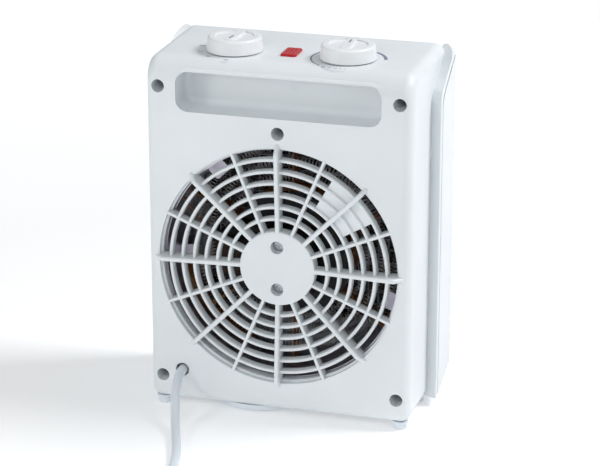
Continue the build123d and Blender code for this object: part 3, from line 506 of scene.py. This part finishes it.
def arc_points(centre, radius, start, end, count):
    return [
        (
            centre[0] + radius * math.cos(math.radians(start + (end - start) * i / count)),
            centre[1] + radius * math.sin(math.radians(start + (end - start) * i / count)),
        )
        for i in range(count + 1)
    ]


thermostat = knob_places["thermostat"]
scale_radius = 27.6
sweep_start, sweep_end = 190.0, 415.0
sweep_count = 60
sweep_widest, sweep_thinning = 2.6, 1.7
sweep_widths = [sweep_widest - sweep_thinning * i / sweep_count for i in range(sweep_count + 1)]
thermostat_ribbons = [
    ribbon(arc_points(thermostat, scale_radius, sweep_start, sweep_end, sweep_count), sweep_widths, deck_z)
]
for start, length in ((420, 8.5), (431.5, 7.0), (442, 5.5), (451, 3.5), (458.5, 2.2)):
    dash = arc_points(thermostat, scale_radius, start, start + length, 4)
    thermostat_ribbons.append(ribbon(dash, [0.9] * 5, deck_z))
marks_piece("thermostat_scale", thermostat_ribbons, "heater")

power_ribbons = []
for place, half_length, width in (
    ((71.0, 5.4), 2.2, 1.4), ((66.5, 22.0), 2.0, 0.9), ((57.5, 32.5), 1.8, 0.9), ((42.0, 38.0), 1.8, 1.0),
):
    x, y = place
    power_ribbons.append(ribbon([(x - half_length, y), (x + half_length, y)], [width] * 2, deck_z))
marks_piece("power_marks", power_ribbons, "heater")

knob_bar_top = 288.9
index_start, index_end, index_width = 2.5, 10.5, 1.3
for name, angle, body in (("power", 85.0, "power_control"), ("thermostat", -88.0, "thermostat_control")):
    x, y = knob_places[name]
    c, s = math.cos(math.radians(angle)), math.sin(math.radians(angle))
    line = ribbon(
        [(x + index_start * c, y + index_start * s), (x + index_end * c, y + index_end * s)],
        [index_width] * 2, knob_bar_top,
    )
    marks_piece(name + "_index", [line], body)


# Stage ----------------------------------------------------------------------------------------

floor_mesh = bpy.data.meshes.new("floor")
reach = 1.2
floor_mesh.from_pydata(
    [(-reach, -reach, 0), (reach, -reach, 0), (reach, reach, 0), (-reach, reach, 0)], [], [(0, 1, 2, 3)]
)
floor = bpy.data.objects.new("floor", floor_mesh)
bpy.context.scene.collection.objects.link(floor)
pale = Graph("pale_floor")
pale.join(pale.ramp(pale.noise(3, 3), [(0.3, (0.93, 0.935, 0.94)), (0.7, (0.95, 0.955, 0.96))]),
          pale.shader.inputs["Base Color"])
pale.join(pale.remap(pale.noise(40, 3), 0.75, 0.85), pale.shader.inputs["Roughness"])
pale.set(Specular_IOR_Level=0.1, Emission_Color=(1, 1, 1, 1))
# The floor glows more towards its edge, so that it fades into the backdrop
distance = pale.add("ShaderNodeVectorMath", operation="LENGTH")
pale.join(pale.place, distance.inputs[0])
glow = pale.add("ShaderNodeMapRange")
for socket, value in (("From Min", 0.45), ("From Max", 1.05), ("To Min", 0.2), ("To Max", 0.45)):
    glow.inputs[socket].default_value = value
pale.join(distance.outputs["Value"], glow.inputs["Value"])
pale.join(glow.outputs["Result"], pale.shader.inputs["Emission Strength"])
floor_mesh.materials.append(pale.material)


lamp_target = Vector((0, 0, 0.14))


def soft_light(name, offset, size, power, colour=(1, 1, 1)):
    """A square lamp that looks at the middle of the heater."""
    data = bpy.data.lights.new(name, "AREA")
    data.size = size
    data.energy = power
    data.color = colour
    lamp = bpy.data.objects.new(name, data)
    lamp.location = lamp_target + Vector(offset)
    lamp.rotation_euler = (-Vector(offset)).to_track_quat("-Z", "Y").to_euler()
    bpy.context.scene.collection.objects.link(lamp)


soft_light("key", (0.62, 0.8, 0.35), 0.24, 1.5, (1.0, 0.985, 0.98))
soft_light("rim", (-1.1, -0.33, 1.35), 0.6, 19.5, (0.98, 0.985, 1.0))
soft_light("fill", (0.0, 1.5, 1.05), 0.9, 4.9, (0.97, 0.985, 1.0))

world = bpy.data.worlds.new("studio")
bpy.context.scene.world = world
world.use_nodes = True
tree = world.node_tree
background = tree.nodes["Background"]
background.inputs["Color"].default_value = (0.95, 0.975, 1.0, 1.0)
background.inputs["Strength"].default_value = 0.42
backdrop = tree.nodes.new("ShaderNodeBackground")
backdrop.inputs["Color"].default_value = (1.0, 1.0, 1.0, 1.0)
backdrop.inputs["Strength"].default_value = 1.0
path = tree.nodes.new("ShaderNodeLightPath")
mix = tree.nodes.new("ShaderNodeMixShader")
tree.links.new(path.outputs["Is Camera Ray"], mix.inputs["Fac"])
tree.links.new(background.outputs["Background"], mix.inputs[1])
tree.links.new(backdrop.outputs["Background"], mix.inputs[2])
tree.links.new(mix.outputs["Shader"], tree.nodes["World Output"].inputs["Surface"])
bpy.context.scene.view_settings.view_transform = "Standard"
